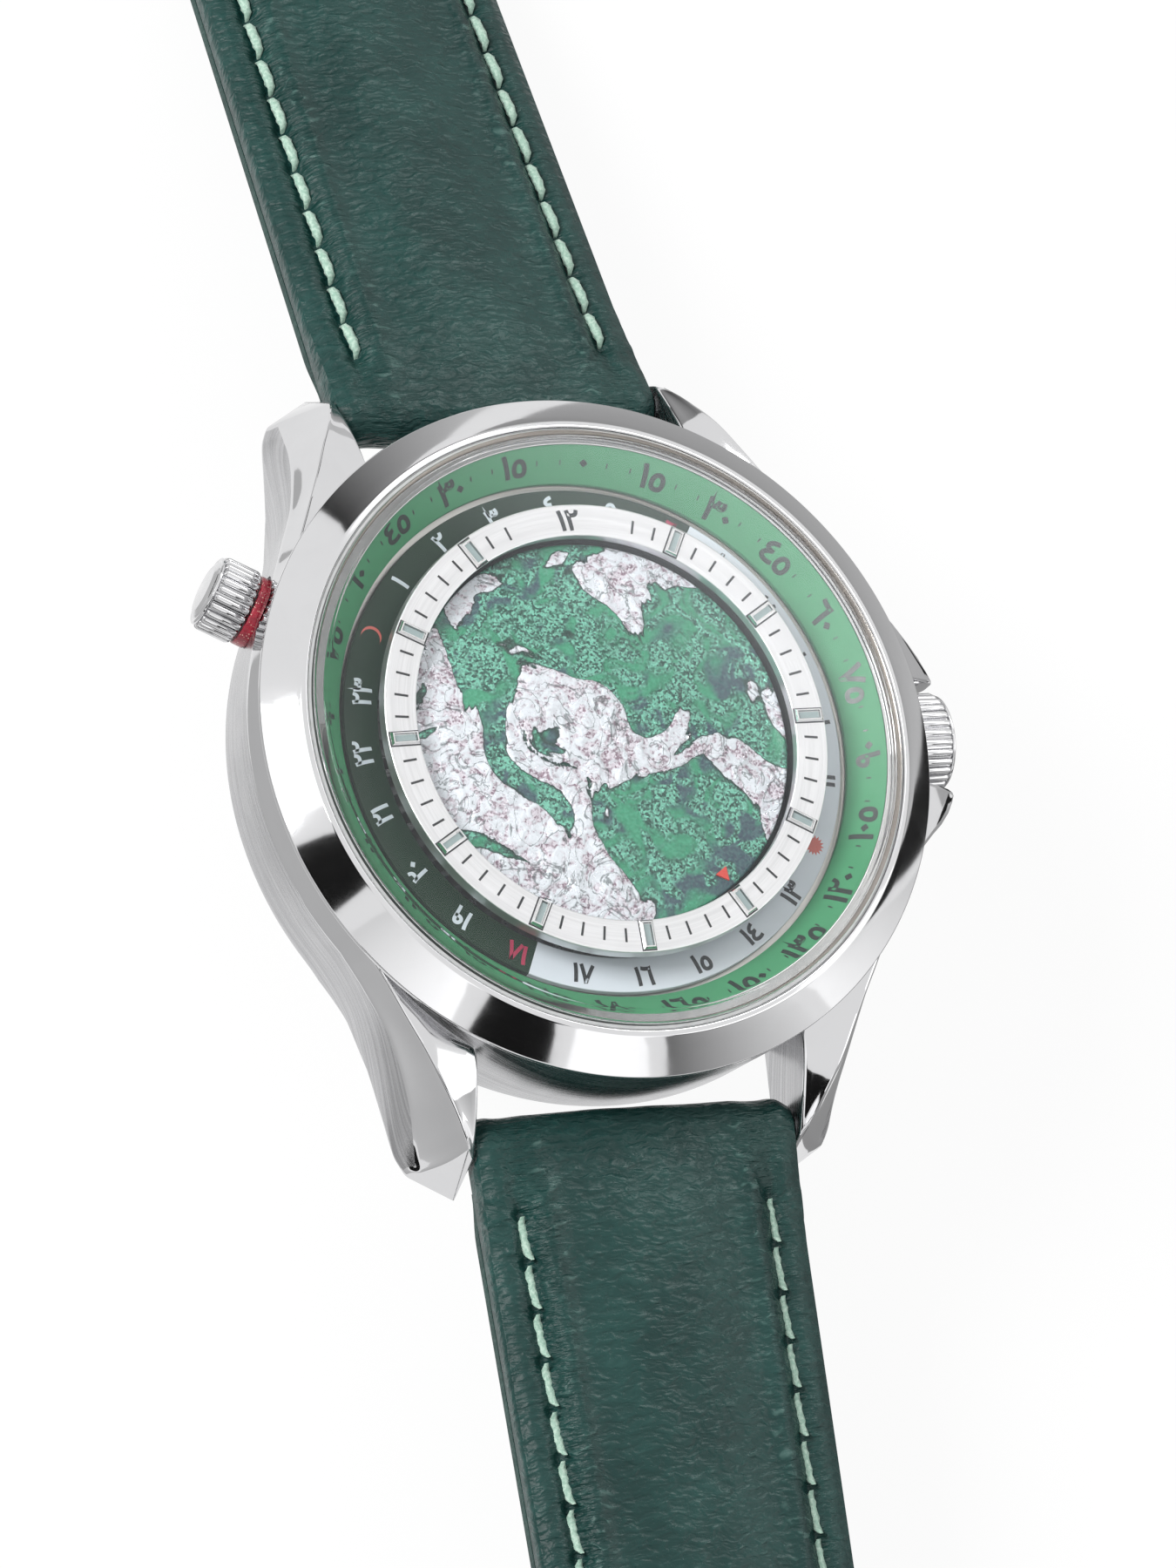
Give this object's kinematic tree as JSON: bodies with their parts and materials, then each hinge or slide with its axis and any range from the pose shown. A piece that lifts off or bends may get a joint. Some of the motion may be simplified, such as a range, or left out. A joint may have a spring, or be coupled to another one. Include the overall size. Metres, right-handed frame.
{
  "type": "wristwatch",
  "caption": "Round wristwatch with hour disc, day-night ring, rotating place ring, fluted crowns, open movement back and padded strap with pin buckle.",
  "frame": {"origin": "centre of the flat case back window, on its outer face", "axes": "+Z out of the dial, +Y towards 12 o'clock along the strap, +X towards 3 o'clock"},
  "size_m": [0.0458, 0.2412, 0.0245],
  "materials": {
    "brushed_case": "brushed flanks, polished bevels",
    "polished_case": "mirror polished steel",
    "clear_crystal": "clear, domed",
    "seal_rubber": "translucent seal",
    "red_collar": "red anodised, fine sparkle",
    "holder_steel": "satin",
    "flange_brown": "satin grey-brown",
    "dial_green_black": "matt",
    "ring_silver": "circular brushed silver",
    "marker_steel": "bevelled and polished",
    "marker_inlay": "pale grey-green enamel",
    "hour_disc_art": "printed land and sea relief under lacquer",
    "pointer_red": "gloss red",
    "day_night_print": "half dark green, half pale blue-grey",
    "place_green": "sunlit green lacquer",
    "gilt_brass": "gilt",
    "spring_steel": "polished spring steel",
    "plate_nickel": "nickel plated, circular grained",
    "bridge_nickel": "nickel plated, striped",
    "screw_blue": "heat blued steel",
    "jewel_red": "synthetic ruby",
    "rotor_steel": "striped",
    "strap_leather": "dark green, fine grain",
    "lining_leather": "smooth dark green lining",
    "buckle_steel": "polished steel"
  },
  "bodies": {
    "root": {"mid_case": "brushed_case", "bezel": "polished_case", "crystal": "clear_crystal", "crystal_gasket": "seal_rubber", "case_back": "brushed_case", "back_window": "clear_crystal", "crown_tube": "spring_steel", "setting_collar": "red_collar", "casing_ring": "holder_steel", "spring_bar_12": "spring_steel", "spring_bar_6": "spring_steel", "inner_flange": "flange_brown", "dial_base": "dial_green_black", "chapter_ring": "ring_silver", "hour_markers": "marker_steel", "marker_inlays": "marker_inlay", "main_plate": "plate_nickel", "mainspring": "spring_steel", "barrel_arbor": "spring_steel", "ratchet_wheel": "holder_steel", "balance_spring": "spring_steel", "balance_cock": "bridge_nickel", "train_bridge": "bridge_nickel", "barrel_bridge": "bridge_nickel", "bridge_screws": "screw_blue", "jewels": "jewel_red", "rotor_bearing": "holder_steel"},
    "hour_disc": {"hour_disc": "hour_disc_art", "hour_pointer": "pointer_red", "hour_wheel": "gilt_brass"},
    "day_night_ring": {"day_night_ring": "day_night_print", "day_night_gear": "gilt_brass"},
    "idler_wheel": {"idler_wheel": "gilt_brass"},
    "minute_wheel": {"minute_wheel": "gilt_brass"},
    "cannon_pinion": {"cannon_pinion": "spring_steel"},
    "place_ring": {"place_ring": "place_green", "place_ring_gear": "gilt_brass"},
    "setting_crown": {"setting_crown": "polished_case", "setting_stem": "spring_steel"},
    "setting_lever": {"setting_lever": "spring_steel"},
    "winding_crown": {"winding_crown": "polished_case", "winding_stem": "spring_steel", "winding_pinion": "spring_steel"},
    "barrel": {"barrel": "gilt_brass"},
    "centre_wheel": {"centre_wheel": "gilt_brass"},
    "third_wheel": {"third_wheel": "gilt_brass"},
    "fourth_wheel": {"fourth_wheel": "gilt_brass"},
    "escape_wheel": {"escape_wheel": "spring_steel"},
    "pallet_fork": {"pallet_fork": "spring_steel"},
    "balance_wheel": {"balance_wheel": "gilt_brass"},
    "rotor": {"rotor": "rotor_steel"},
    "strap_12": {"strap_12_leather": "strap_leather", "strap_12_lining": "lining_leather", "fixed_keeper": "strap_leather"},
    "free_keeper": {"free_keeper": "strap_leather"},
    "buckle": {"buckle_frame": "buckle_steel", "buckle_bar": "spring_steel"},
    "buckle_tongue": {"buckle_tongue": "buckle_steel"},
    "strap_6": {"strap_6_leather": "strap_leather", "strap_6_lining": "lining_leather"}
  },
  "joints": [
    {"name": "hour_disc_turn", "type": "hinge", "parent": "root", "child": "hour_disc", "pos_m": [0, 0, 0.009], "axis": [0, 0, 1], "continuous": true},
    {"name": "day_night_turn", "type": "hinge", "parent": "root", "child": "day_night_ring", "pos_m": [0, 0, 0.008], "axis": [0, 0, 1], "continuous": true},
    {"name": "idler_turn", "type": "hinge", "parent": "root", "child": "idler_wheel", "pos_m": [0.00945, 0, 0.0077], "axis": [0, 0, 1], "continuous": true},
    {"name": "minute_wheel_turn", "type": "hinge", "parent": "root", "child": "minute_wheel", "pos_m": [-0.0016, 0.00277, 0.0069], "axis": [0, 0, 1], "continuous": true},
    {"name": "cannon_turn", "type": "hinge", "parent": "root", "child": "cannon_pinion", "pos_m": [0, 0, 0.007], "axis": [0, 0, 1], "continuous": true},
    {"name": "place_ring_turn", "type": "hinge", "parent": "root", "child": "place_ring", "pos_m": [0, 0, 0.008], "axis": [0, 0, 1], "continuous": true},
    {"name": "setting_crown_turn", "type": "hinge", "parent": "root", "child": "setting_crown", "pos_m": [-0.01819, 0.0105, 0.0046], "axis": [-0.866, 0.5, 0], "continuous": true},
    {"name": "crown_pull", "type": "slide", "parent": "root", "child": "setting_lever", "axis": [1, 0, 0], "range_m": [0, 0.0014]},
    {"name": "winding_crown_turn", "type": "hinge", "parent": "setting_lever", "child": "winding_crown", "pos_m": [0.021, 0, 0.0046], "axis": [1, 0, 0], "continuous": true},
    {"name": "third_turn", "type": "hinge", "parent": "root", "child": "third_wheel", "pos_m": [0.00479, 0.00174, 0.005], "axis": [0, 0, 1], "continuous": true},
    {"name": "barrel_turn", "type": "hinge", "parent": "root", "child": "barrel", "pos_m": [-0.00571, 0.00266, 0.0053], "axis": [0, 0, 1], "continuous": true},
    {"name": "centre_turn", "type": "hinge", "parent": "root", "child": "centre_wheel", "pos_m": [0, 0, 0.005], "axis": [0, 0, 1], "continuous": true},
    {"name": "fourth_turn", "type": "hinge", "parent": "root", "child": "fourth_wheel", "pos_m": [0.0055, -0.00224, 0.005], "axis": [0, 0, 1], "continuous": true},
    {"name": "escape_turn", "type": "hinge", "parent": "root", "child": "escape_wheel", "pos_m": [0.00255, -0.00394, 0.005], "axis": [0, 0, 1], "continuous": true},
    {"name": "pallet_swing", "type": "hinge", "parent": "root", "child": "pallet_fork", "pos_m": [0.0009, -0.0068, 0.0056], "axis": [0, 0, 1], "range_deg": [-3, 3]},
    {"name": "balance_swing", "type": "hinge", "parent": "root", "child": "balance_wheel", "pos_m": [-0.00256, -0.0088, 0.0046], "axis": [0, 0, 1], "range_deg": [-150, 150]},
    {"name": "rotor_turn", "type": "hinge", "parent": "root", "child": "rotor", "pos_m": [0, 0, 0.002], "axis": [0, 0, 1], "continuous": true},
    {"name": "strap_12_swing", "type": "hinge", "parent": "root", "child": "strap_12", "pos_m": [0, 0.0226, 0.003], "axis": [1, 0, 0], "range_deg": [-75, 0]},
    {"name": "free_keeper_slide", "type": "slide", "parent": "strap_12", "child": "free_keeper", "axis": [0, 1, 0], "range_m": [-0.004, 0.004]},
    {"name": "buckle_swing", "type": "hinge", "parent": "strap_12", "child": "buckle", "pos_m": [0, 0.0959, -0.00927], "axis": [1, 0, 0], "range_deg": [-75, 45]},
    {"name": "tongue_swing", "type": "hinge", "parent": "buckle", "child": "buckle_tongue", "pos_m": [0, 0.0959, -0.00927], "axis": [1, 0, 0], "range_deg": [0, 60]},
    {"name": "strap_6_swing", "type": "hinge", "parent": "root", "child": "strap_6", "pos_m": [0, -0.0226, 0.003], "axis": [1, 0, 0], "range_deg": [0, 85]}
  ],
  "couplings": [
    {"joint": "day_night_turn", "follows": "hour_disc_turn", "ratio": -0.5},
    {"joint": "idler_turn", "follows": "hour_disc_turn", "ratio": -2},
    {"joint": "minute_wheel_turn", "follows": "hour_disc_turn", "ratio": -4},
    {"joint": "cannon_turn", "follows": "hour_disc_turn", "ratio": 12},
    {"joint": "setting_crown_turn", "follows": "place_ring_turn", "ratio": -12.889},
    {"joint": "barrel_turn", "follows": "third_turn", "ratio": 0.022222},
    {"joint": "centre_turn", "follows": "third_turn", "ratio": -0.13333},
    {"joint": "fourth_turn", "follows": "third_turn", "ratio": -8},
    {"joint": "escape_turn", "follows": "third_turn", "ratio": 60}
  ]
}
